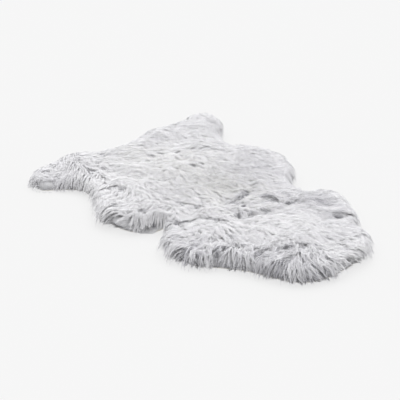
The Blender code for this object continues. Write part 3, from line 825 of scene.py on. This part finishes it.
def guide_paths(pelt, roots, reach, turn, curl, level, most, held):
    """Plan points of each guide from root to tip. Steps grow shorter where the cover falls away."""
    curl = curl + pelt.grid.read(pelt.curl, roots)
    here = roots
    plan = [roots]
    for before, share in zip(GUIDE_SHARES, GUIDE_SHARES[1:]):
        step = (reach * (share - before))[:, None]
        heading = pelt.heading(here, turn + curl * share)
        fall = pelt.height(here, level, most, held) - pelt.height(here + heading * step, level, most, held)
        slope = np.clip(fall[:, None] / step, -1.0, 4.0)
        climb = np.clip((-slope - CLIMB["from"]) / CLIMB["over"], 0.0, 1.0)
        room = np.clip((most - pelt.grid.read(pelt.fallen, here)) / FALL_ROOM, 0.02, 1.0)[:, None]
        here = here + heading * step * room * (1 - CLIMB["slower"] * climb) / np.sqrt(1 + slope ** 2)
        plan.append(here)
    return np.stack(plan, axis=1)


def make_staples(pelt, chance):
    """The guides of every staple and the levels along them, first those of the coat and then the wall's."""
    tufts = {name: pelt.grid.rough(TUFTS["size"], chance) for name in ("turn", "reach", "level", "curl")}
    middles = even_places(pelt, COAT["spacing"], COAT["past_rim"], chance)
    coat_roots = roots_behind(pelt, middles, COAT["reach"])
    rim_length = np.linalg.norm(pelt.rim - np.roll(pelt.rim, 1, axis=0), axis=1).sum()
    wall_roots, wall_levels = wall_places(pelt, int(rim_length / WALL["spacing"]), chance)
    roots = np.concatenate([coat_roots, wall_roots])
    levels = np.concatenate([np.tile(COAT["levels"], (len(coat_roots), 1)),
                             wall_levels[:, None] * np.array(WALL["levels"])])
    reach = np.concatenate([np.full(len(coat_roots), COAT["reach"]), between(WALL["reach"], wall_levels)])
    level = levels[:, 0]
    most = between((FALL["lowest"], FALL["full"]), np.clip(level / FALL["level"], 0.0, 1.0))
    most[:len(coat_roots)] = FALL["full"]
    edge = pelt.grid.read(pelt.edge, roots)
    lifted = pelt.grid.read(pelt.lift, roots) / RIPPLE["height"] * (edge > RIPPLE_WOOL["edge"])
    most = between((most, RIPPLE_WOOL["most"]), np.clip(3 * lifted, 0.0, 1.0))
    tousle = pelt.grid.read(pelt.tousle, roots)

    def own(name):
        spread = between(SPREAD[name], tousle) * chance.standard_normal(len(roots))
        if name in tufts:
            spread += between(TUFTS[name], tousle) * pelt.grid.read(tufts[name], roots)
        return spread

    reach = np.clip(reach * (1 + own("reach")), *REACH_RANGE)
    turn, curl = own("turn"), own("curl")
    levels = levels + own("level")[:, None] * np.minimum(1.0, 0.3 + 1.5 * np.array(GUIDE_SHARES))
    near_rim = edge < NEAR_RIM
    reach = reach * (1 - RIPPLE_WOOL["shorter"] * lifted * near_rim)
    reach = reach * (1 + 0.5 * total_swell(OVERHANGS, roots))
    under_belly = pelt.grid.read(pelt.under_belly, roots) * near_rim
    slit = (level > UNDER_BELLY["slit"][0]) & (level < UNDER_BELLY["slit"][1])
    held = (level > UNDER_BELLY["slit"][1]).astype(float)
    most = between((most, UNDER_BELLY["most"]), under_belly * held)
    plan = guide_paths(pelt, roots, reach, turn, curl, level, most, held)
    bare = (lifted > RIPPLE_WOOL["bare"]) & near_rim & (level < RIPPLE_WOOL["level"])
    keep = ~bare & ~(slit & (under_belly > 0.5))
    at_rim = (edge < RIM_ZONE["edge"]) | (tousle > RIM_ZONE["tousle"])
    staples = {"plan": plan, "levels": levels, "most": most, "held": held, "tousle": tousle, "at_rim": at_rim}
    return {name: values[keep] for name, values in staples.items()}


def along_guide(values, shares):
    """Values at shares of the way along each guide, from those at its own points."""
    place = shares * (len(GUIDE_SHARES) - 1)
    start = np.clip(place.astype(int), 0, len(GUIDE_SHARES) - 2)
    part = (place - start).reshape(place.shape + (1,) * (values.ndim - 2))
    row = np.arange(len(values))[:, None]
    return values[row, start] * (1 - part) + values[row, start + 1] * part


def strand_paths(pelt, staples, chosen, sort, chance):
    """Paths of single strands, each drawn towards its staple's guide, and which of them end in a crease."""
    count = len(chosen)
    points = np.array(sort["points"])
    tousle = staples["tousle"][chosen]
    start = chance.uniform(*sort["start"], count)
    run = chance.uniform(*sort["run"], count) * (1 - SHORTER * tousle * (len(points) == 2))
    angle = chance.uniform(0, 2 * math.pi, count)
    radius = between(STAPLE_RADIUS, staples["at_rim"][chosen]) * np.sqrt(chance.uniform(0, 1, count))
    offset = np.stack([np.cos(angle), np.sin(angle)], axis=-1) * radius[:, None]
    pull = between(sort["pull"], tousle)

    def plan_at(shares):
        kept = 1 - pull[:, None] * np.minimum(shares, 1.0)
        return along_guide(staples["plan"][chosen], shares) + offset[:, None, :] * kept[..., None]

    steps = np.linspace(0.0, 1.0, OPENED["steps"] + 1)
    shade = pelt.grid.read(pelt.shade, plan_at(start[:, None] + run[:, None] * steps))
    dark = shade > OPENED["from"]
    meets = dark.any(axis=1) & ~dark[:, 0]
    free = np.where(meets, np.maximum(steps[dark.argmax(axis=1)], OPENED["least"]), 1.0)
    full_run = run
    run = np.where(chance.uniform(0, 1, count) < OPENED["share"], run * free, run)
    shares = np.minimum(start[:, None] + run[:, None] * points, LONGEST)
    plan = plan_at(shares)
    ended = run < full_run - 1e-6
    rise = sort["rise"] + between(sort["uneven"], tousle) * chance.standard_normal(count)
    levels = along_guide(staples["levels"][chosen], shares) + rise[:, None] * np.minimum(1.0, 0.4 + shares)
    most, held = (staples[name][chosen][:, None] for name in ("most", "held"))
    heights = pelt.height(plan, levels, most, held)
    paths = np.concatenate([plan, heights[..., None]], axis=-1)
    stray = between(sort["stray"], tousle) * np.clip(1.5 * levels[:, 0], 0.2, 1.0)
    stray = stray[:, None, None] * chance.standard_normal((count, 1, 3))
    return paths + stray * points[None, :, None] ** 2, ended


def strand_vertices(paths, radii, chance):
    """Rings of corners along each path, three to a ring, and then its tip, with the way each faces."""
    count = len(paths)
    paths = paths.copy()
    paths[..., 2] = np.maximum(paths[..., 2], radii + FLOOR_GAP)
    tangent = unit(np.gradient(paths, axis=1))
    heading = unit(paths[:, -1, :2] - paths[:, 0, :2])
    side = np.stack([-heading[:, 1], heading[:, 0], np.zeros(count)], axis=-1)[:, None, :]
    side = unit(side - tangent * np.sum(side * tangent, axis=-1, keepdims=True))
    other = np.cross(tangent, side)
    roll = chance.uniform(0, 2 * math.pi, count)
    spokes = []
    for corner in range(LOCK_SIDES):
        angle = (roll + 2 * math.pi * corner / LOCK_SIDES)[:, None, None]
        spokes.append(np.cos(angle) * side + np.sin(angle) * other)
    spokes = np.stack(spokes, axis=2)[:, :-1]
    rings = paths[:, :-1, None, :] + spokes * radii[:, :-1, None, None]
    rings[..., 2] = np.maximum(rings[..., 2], FLOOR_GAP)
    vertices = np.concatenate([rings.reshape(count, -1, 3), paths[:, -1:, :]], axis=1)
    facing = np.concatenate([spokes.reshape(count, -1, 3), other[:, -1:, :]], axis=1)
    return vertices, facing


def strand_faces(rings):
    """Faces of one strand as rows of corner numbers, each with its place on the map."""
    faces, marks = [], []
    for ring in range(rings - 1):
        for side in range(LOCK_SIDES):
            after = (side + 1) % LOCK_SIDES
            low, high = ring * LOCK_SIDES, (ring + 1) * LOCK_SIDES
            faces.append((low + side, low + after, high + after, high + side))
            marks.append(((side, ring), (side + 1, ring), (side + 1, ring + 1), (side, ring + 1)))
    last = (rings - 1) * LOCK_SIDES
    tip = rings * LOCK_SIDES
    for side in range(LOCK_SIDES):
        faces.append((last + side, last + (side + 1) % LOCK_SIDES, tip))
        marks.append(((side, rings - 1), (side + 1, rings - 1), (side + 0.5, rings)))
    faces.append(tuple(reversed(range(LOCK_SIDES))))
    marks.append(((LOCK_SIDES, 0), (LOCK_SIDES / 2, 0), (0, 0)))
    return faces, marks


def add_object(name, data):
    """A new object in the scene."""
    made = bpy.data.objects.new(name, data)
    bpy.context.scene.collection.objects.link(made)
    return made


def strand_mesh(name, vertices, facing, tones, material):
    """One mesh of many strands that all have the same faces."""
    count, corners, _ = vertices.shape
    rings = (corners - 1) // LOCK_SIDES
    faces, marks = strand_faces(rings)
    sizes = np.array([len(face) for face in faces])
    pattern = np.concatenate([np.array(face) for face in faces])
    loops = (pattern[None, :] + corners * np.arange(count)[:, None]).ravel()
    mesh = bpy.data.meshes.new(name)
    mesh.vertices.add(count * corners)
    mesh.vertices.foreach_set("co", vertices.astype(np.float32).ravel())
    mesh.loops.add(len(loops))
    mesh.loops.foreach_set("vertex_index", loops.astype(np.int32))
    all_sizes = np.tile(sizes, count)
    starts = np.concatenate([[0], np.cumsum(all_sizes)[:-1]])
    mesh.polygons.add(len(all_sizes))
    mesh.polygons.foreach_set("loop_start", starts.astype(np.int32))
    mesh.update(calc_edges=True)
    places = np.array([spot for row in marks for spot in row], float)
    across = places[:, 0] / LOCK_SIDES * MAP["across"] + MAP["side"]
    along = places[:, 1] / rings * MAP["along"] + MAP["end"]
    u = (tones[:, None] + across[None, :]) / (TONES * TINTS)
    v = np.tile(along, (count, 1))
    layer = mesh.uv_layers.new(name="OFBake")
    layer.data.foreach_set("uv", np.stack([u, v], axis=-1).astype(np.float32).ravel())
    mesh.materials.append(material)
    mesh.shade_smooth()
    mesh.normals_split_custom_set_from_vertices(facing.reshape(-1, 3))
    return add_object(name, mesh)


def tone_columns(tone):
    """Columns of the wool's map for tones from 0, the darkest, to 1."""
    return np.clip(np.floor(tone * TONES), 0, TONES - 1)


def chosen_staples(staples, sort, chance):
    """The staple of each strand of a sort."""
    places = {"rim": staples["at_rim"], "top": ~staples["at_rim"], "all": np.full(len(staples["plan"]), True)}
    able = np.flatnonzero(places[sort["where"]])
    whole = int(sort["each"])
    some = chance.permutation(able)[:int((sort["each"] - whole) * len(able))]
    return np.concatenate([np.repeat(able, whole), some])


def parted(pelt, paths, chance):
    """Which strands are left where the coat opens in creases and partings, and the shade on each."""
    shade = pelt.grid.read(pelt.shade, paths[..., :2])
    in_dark = shade[:, 0] > OPENED["from"]
    return ~in_dark | (chance.uniform(0, 1, len(paths)) > OPENED["share"]), shade.mean(axis=1)


def foot_tone(pelt, staples):
    """How much paler a staple of the foot under the belly is."""
    foot = staples["levels"][:, 0] < UNDER_BELLY["slit"][0]
    return UNDER_BELLY["tone"] * foot * pelt.grid.read(pelt.under_belly, staples["plan"][:, 0])


def grow(pelt, staples, sort, own_tone, chance):
    """One sort of strand all over the coat: corners, the way they face, tones and places along the pelt."""
    chosen = chosen_staples(staples, sort, chance)
    paths, ended = strand_paths(pelt, staples, chosen, sort, chance)
    kept, shade = parted(pelt, paths, chance)
    chosen, paths, ended, shade = chosen[kept], paths[kept], ended[kept], shade[kept]
    girth = chance.uniform(*GIRTH, len(chosen))[:, None]
    vertices, facing = strand_vertices(paths, np.array(sort["radius"]) * girth, chance)
    facing = unit(facing * (1 - SOFTEN) + pelt.facing(vertices[..., :2]) * SOFTEN)
    middles = paths.mean(axis=1)[:, :2]
    spread = sort["tone_spread"] * between(TONE_SPREAD, staples["tousle"][chosen])
    tones = sort["tone"] + own_tone[chosen] + spread * chance.standard_normal(len(chosen))
    # painted light and shade by place, and painted shade in creases, partings and pits
    tones += total_swell(PAINTED_LIGHT_AND_SHADE, middles) - SHADE_TONE * shade
    # strands that end in a crease take the tint with painted shade on their tips
    tint = np.where(ended, 2, chance.uniform(0, 1, len(chosen)) < total_swell(WARM, middles))
    columns = tone_columns(tones) + TONES * tint
    return vertices, facing, columns, paths[:, 0, 1]


def make_wool(pelt, material, chance):
    """The coat's strands of every sort, joined in pieces from the neck to the rump."""
    staples = make_staples(pelt, chance)
    blotch = pelt.grid.swept(pelt.grid.rough(BLOTCH["size"], chance), pelt.way, BLOTCH["length"])
    own_tone = between(OWN_TONE, staples["tousle"]) * chance.standard_normal(len(staples["plan"]))
    patchy = between(BLOTCH["tone"], staples["tousle"])
    own_tone += patchy * pelt.grid.read(blotch, staples["plan"][:, 2]) + foot_tone(pelt, staples)
    pieces = []
    for sort in STRANDS:
        vertices, facing, tones, places = grow(pelt, staples, sort, own_tone, chance)
        order = np.argsort(places, kind="stable")
        for part, chosen in zip(sort["parts"], np.array_split(order, len(sort["parts"]))):
            name = f"{sort['kind']}_{part}"
            pieces.append(strand_mesh(name, vertices[chosen], facing[chosen], tones[chosen], material))
    return pieces


def triangular_grid(low, high, step):
    """Points of a triangular grid over a box."""
    rows = np.arange(low[1], high[1], step * math.sqrt(3) / 2)
    columns = np.arange(low[0], high[0], step)
    places = np.stack(np.meshgrid(columns, rows), axis=-1)
    places[1::2, :, 0] += step / 2
    return places.reshape(-1, 2)


def plan_triangles(pelt, step, fine_step=None):
    """The skin's plan as triangles: its points, the rim's first, and the triangles' corners."""
    rim = pelt.rim
    low, high = rim.min(axis=0), rim.max(axis=0)
    places = triangular_grid(low, high, step)
    if fine_step:
        fine = triangular_grid(low, high, fine_step)
        places = np.concatenate([places[pelt.grid.read(pelt.shade, places) < CREASED],
                                 fine[pelt.grid.read(pelt.shade, fine) >= CREASED]])
    places = places[pelt.grid.read(pelt.edge, places) > RIM_CLEAR * step]
    points = [Vector(p) for p in np.concatenate([rim, places])]
    count = len(rim)
    edges = [(index, (index + 1) % count) for index in range(count)]
    found = geometry.delaunay_2d_cdt(points, edges, [], 1, 1e-6)
    number = np.array([sources[0] for sources in found[3]])
    flat = np.array([p[:] for p in points])
    triangles = np.array([[number[index] for index in corner] for corner in found[2]])
    a, b, c = (flat[triangles[:, k]] for k in range(3))
    turn = (b[:, 0] - a[:, 0]) * (c[:, 1] - a[:, 1]) - (b[:, 1] - a[:, 1]) * (c[:, 0] - a[:, 0])
    triangles[turn < 0] = triangles[turn < 0][:, ::-1]
    return flat, triangles


def closed_pad(name, plan, triangles, rim_normals, under, over, wall):
    """A closed body between two heights over the plan, with rows of points up its wall."""
    count = len(plan)
    rim_count = len(rim_normals)
    bottom = np.column_stack([plan, under])
    top = np.column_stack([plan, over])
    rings = []
    for row in wall:
        out = plan[:rim_count] + rim_normals * np.reshape(row["out"], (-1, 1))
        height = between((under[:rim_count], over[:rim_count]), row["share"])
        rings.append(np.column_stack([out, height]))
    vertices = np.concatenate([bottom, top] + rings)
    around = np.arange(rim_count)
    after = (around + 1) % rim_count
    upright = [2 * count + index * rim_count + around for index in range(len(wall))]
    bands = [around] + upright + [count + around]
    quads = []
    for low, high in zip(bands, bands[1:]):
        quads.append(np.stack([low[around], low[after], high[after], high[around]], axis=1))
    faces = [tuple(face) for face in triangles[:, ::-1]] + [tuple(face) for face in triangles + count]
    faces += [tuple(face) for face in np.concatenate(quads)]
    mesh = bpy.data.meshes.new(name)
    mesh.from_pydata(vertices.tolist(), [], [tuple(int(i) for i in face) for face in faces])
    mesh.shade_smooth()
    return add_object(name, mesh)


def add_shade(made, shade):
    layer = made.data.attributes.new(SHADE_NAME, "FLOAT", "POINT")
    layer.data.foreach_set("value", np.clip(shade, 0.0, 1.0).astype(np.float32))


def make_skin(pelt, plan, triangles):
    lift = pelt.lift_at(plan)
    made = closed_pad("hide_suede", plan, triangles, pelt.rim_normals, lift, lift + SKIN_THICKNESS, SKIN_WALL)
    shade = np.zeros(len(made.data.vertices))
    # painted shade on the underside of the skin where the ripple lifts it off the floor
    shade[:len(plan)] = lift / RIPPLE["height"]
    add_shade(made, shade)
    return made


def make_undercoat(pelt, plan, triangles):
    base = pelt.lift_at(plan) + SKIN_THICKNESS + UNDERCOAT_GAP
    tousle = pelt.grid.read(pelt.tousle, plan)
    level = between((UNDERCOAT_LEVEL["smooth"], UNDERCOAT_LEVEL["tousled"]), tousle)
    depth = pelt.grid.read(pelt.cover, plan) * level
    rim_count = len(pelt.rim)
    shrunk = plan.copy()
    shrunk[:rim_count] -= pelt.rim_normals * UNDERCOAT_INSET
    held_back = np.clip(1.0 - 3 * pelt.lift_at(pelt.rim) / RIPPLE["height"], 0.0, 1.0)
    under_belly = pelt.grid.read(pelt.under_belly, pelt.rim)
    fuller = np.maximum(0.0, total_swell(OVERHANGS, pelt.rim))
    wall = []
    for row in UNDERCOAT_WALL:
        share = row["share"] if row["share"] > 0 else row["share"] * held_back
        out = between((row["out"], row["belly"]), under_belly) * (1 + row["follows"] * fuller)
        wall.append({"share": share, "out": out * held_back})
    made = closed_pad("wool_undercoat", shrunk, triangles, pelt.rim_normals, base, base + depth, wall)
    # painted shade: that of the creases, partings and pits on the top, and on the wall darker towards the
    # floor and in the slit under the belly
    corners = np.array([vertex.co[:] for vertex in made.data.vertices])
    shade = pelt.grid.read(pelt.shade, corners[:, :2])
    for index, row in enumerate(UNDERCOAT_WALL):
        first = 2 * len(plan) + index * rim_count
        foot = UNDERCOAT_FOOT_SHADE * (1 - row["share"])
        shade[first:first + rim_count] = between((foot, row["dark"]), under_belly)
    add_shade(made, shade)
    return made


def new_material(name):
    material = bpy.data.materials.new(name)
    material.use_nodes = True
    tree = material.node_tree
    return material, tree, tree.nodes["Principled BSDF"]


def add_node(tree, kind, **values):
    node = tree.nodes.new(kind)
    for key, value in values.items():
        setattr(node, key, value)
    return node


def join(tree, start, end):
    tree.links.new(start, end)


def set_inputs(node, values):
    for name, value in values.items():
        node.inputs[name].default_value = value


def noise(tree, place, scale, detail):
    node = add_node(tree, "ShaderNodeTexNoise")
    set_inputs(node, {"Scale": scale, "Detail": detail})
    join(tree, place, node.inputs["Vector"])
    return node.outputs["Fac"]


def add_bump(tree, shader, height, strength, distance):
    bump = add_node(tree, "ShaderNodeBump")
    set_inputs(bump, {"Strength": strength, "Distance": distance})
    join(tree, height, bump.inputs["Height"])
    join(tree, bump.outputs["Normal"], shader.inputs["Normal"])


def math_node(tree, operation, first, second=None):
    node = add_node(tree, "ShaderNodeMath", operation=operation)
    for socket, value in zip(node.inputs, (first, second)):
        if value is None:
            continue
        if isinstance(value, (int, float)):
            socket.default_value = value
        else:
            join(tree, value, socket)
    return node.outputs[0]


def remap(tree, value, low, high, new_low, new_high):
    node = add_node(tree, "ShaderNodeMapRange")
    join(tree, value, node.inputs["Value"])
    set_inputs(node, {"From Min": low, "From Max": high, "To Min": new_low, "To Max": new_high})
    return node.outputs["Result"]


def ramp(tree, value, stops):
    node = add_node(tree, "ShaderNodeValToRGB")
    join(tree, value, node.inputs["Fac"])
    elements = node.color_ramp.elements
    while len(elements) < len(stops):
        elements.new(0.5)
    for element, (place, colour) in zip(elements, stops):
        element.position = place
        element.color = (*colour, 1.0)
    return node.outputs["Color"]


def mix_colours(tree, kind, first, second):
    node = add_node(tree, "ShaderNodeMix", data_type="RGBA", blend_type=kind)
    for socket, colour in zip(MIX_COLOURS, (first, second)):
        join(tree, colour, node.inputs[socket])
    return node


def multiply(tree, first, second):
    node = mix_colours(tree, "MULTIPLY", first, second)
    node.inputs["Factor"].default_value = 1.0
    return node.outputs[MIX_RESULT]


def blend(tree, share, first, second):
    node = mix_colours(tree, "MIX", first, second)
    join(tree, share, node.inputs["Factor"])
    return node.outputs[MIX_RESULT]


def wool_material():
    """Wool: tone by the map's column, with painted shade darker towards the root and on tips that end in a
    crease, and fine fibres along each lock.
    """
    material, tree, shader = new_material("wool_locks")
    uv = add_node(tree, "ShaderNodeUVMap", uv_map="OFBake")
    parts = add_node(tree, "ShaderNodeSeparateXYZ")
    join(tree, uv.outputs["UV"], parts.inputs["Vector"])
    column = math_node(tree, "MULTIPLY", parts.outputs["X"], float(TONES * TINTS))
    whole = math_node(tree, "FLOOR", column)
    tone = math_node(tree, "DIVIDE", math_node(tree, "MODULO", whole, float(TONES)), float(TONES - 1))
    is_ended = math_node(tree, "GREATER_THAN", whole, 2 * TONES - 0.5)
    is_warm = math_node(tree, "SUBTRACT", math_node(tree, "GREATER_THAN", whole, TONES - 0.5), is_ended)
    silver, warm = ramp(tree, tone, SILVER_TONES), ramp(tree, tone, WARM_TONES)
    colour = blend(tree, is_warm, silver, warm)
    shade = ramp(tree, parts.outputs["Y"], SHADE_ALONG_STRAND)
    tip_shade = ramp(tree, parts.outputs["Y"], ((0.40, WHITE), (0.90, PAINTED_TIP_SHADE)))
    shade = blend(tree, is_ended, shade, tip_shade)
    fibre_place = add_node(tree, "ShaderNodeCombineXYZ")
    join(tree, math_node(tree, "MULTIPLY", column, 7.0), fibre_place.inputs["X"])
    join(tree, math_node(tree, "MULTIPLY", parts.outputs["Y"], 3.0), fibre_place.inputs["Y"])
    fibre = noise(tree, fibre_place.outputs["Vector"], 1.0, 3.0)
    streak = ramp(tree, fibre, ((0.30, (0.93, 0.93, 0.935)), (0.70, WHITE)))
    join(tree, multiply(tree, multiply(tree, colour, shade), streak), shader.inputs["Base Color"])
    join(tree, remap(tree, fibre, 0.3, 0.7, 0.78, 0.95), shader.inputs["Roughness"])
    add_bump(tree, shader, fibre, 0.5, 0.0004)
    set_inputs(shader, {"Sheen Weight": 0.25, "Sheen Roughness": 0.5, "Specular IOR Level": 0.25})
    return material


def speckled_material(name, dark, light, scale, bump_distance, roughness):
    """A matt surface with uneven colour and a fine raised nap, darker where its painted shade says so."""
    material, tree, shader = new_material(name)
    place = add_node(tree, "ShaderNodeTexCoord").outputs["Object"]
    broad, fine = noise(tree, place, scale, 5.0), noise(tree, place, scale * 9, 4.0)
    mixed = math_node(tree, "MULTIPLY", math_node(tree, "ADD", broad, fine), 0.5)
    colour = ramp(tree, mixed, ((0.35, dark), (0.65, light)))
    shade = add_node(tree, "ShaderNodeAttribute", attribute_name=SHADE_NAME).outputs["Fac"]
    colour = multiply(tree, colour, ramp(tree, shade, ((0.15, WHITE), (0.80, DARKEST_SHADE))))
    join(tree, colour, shader.inputs["Base Color"])
    uneven = remap(tree, fine, 0.3, 0.7, roughness - 0.1, roughness + 0.05)
    join(tree, uneven, shader.inputs["Roughness"])
    add_bump(tree, shader, fine, 0.7, bump_distance)
    set_inputs(shader, {"Specular IOR Level": 0.2})
    return material


def make_camera():
    data = bpy.data.cameras.new("camera")
    data.sensor_width = 36.0
    data.lens = CAMERA_LENS
    data.clip_start, data.clip_end = 0.05, 200.0
    camera = add_object("camera", data)
    camera.location = CAMERA_PLACE
    camera.rotation_mode = "QUATERNION"
    camera.rotation_quaternion = Vector(CAMERA_AIM).to_track_quat("-Z", "Y")
    bpy.context.scene.camera = camera


def make_stage():
    """A pale, softly lit floor, an even sky and one very soft light from behind and above."""
    scene = bpy.context.scene
    half = FLOOR["half"]
    mesh = bpy.data.meshes.new("floor")
    corners = [(-half, -half, 0), (half, -half, 0), (half, half, 0), (-half, half, 0)]
    mesh.from_pydata(corners, [], [(0, 1, 2, 3)])
    material, _, shader = new_material("floor")
    set_inputs(shader, {
        "Base Color": (*FLOOR["colour"], 1.0), "Roughness": 1.0, "Specular IOR Level": 0.0,
        "Emission Color": (1.0, 1.0, 1.0, 1.0), "Emission Strength": FLOOR["glow"],
    })
    mesh.materials.append(material)
    floor = add_object("floor", mesh)
    light = bpy.data.lights.new("sun", "SUN")
    light.energy = SUN["strength"]
    light.angle = math.radians(SUN["spread"])
    light.color = SUN["colour"]
    sun = add_object("sun", light)
    sun.rotation_mode = "QUATERNION"
    sun.rotation_quaternion = (-Vector(SUN["from"])).to_track_quat("-Z", "Y")
    world = bpy.data.worlds.new("sky")
    world.use_nodes = True
    background = world.node_tree.nodes["Background"]
    background.inputs["Color"].default_value = (*SKY["colour"], 1.0)
    background.inputs["Strength"].default_value = SKY["strength"]
    scene.world = world
    scene.view_settings.view_transform = "Standard"
    scene.view_settings.look = "None"


make_camera()
make_stage()
luck = np.random.default_rng(SEED)
pelt = Pelt(frame["nodes"], luck)

skin = make_skin(pelt, *plan_triangles(pelt, SKIN_STEP))
skin.data.materials.append(speckled_material("suede", **SUEDE))
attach(skin, "root")
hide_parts("hide")

undercoat = make_undercoat(pelt, *plan_triangles(pelt, UNDERCOAT_STEP, CREASE_STEP))
undercoat.data.materials.append(speckled_material("wool_undercoat", **DENSE_WOOL))
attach(undercoat, "root")
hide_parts("fleece")

for piece in make_wool(pelt, wool_material(), luck):
    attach(piece, "root")

bpy.context.view_layer.update()
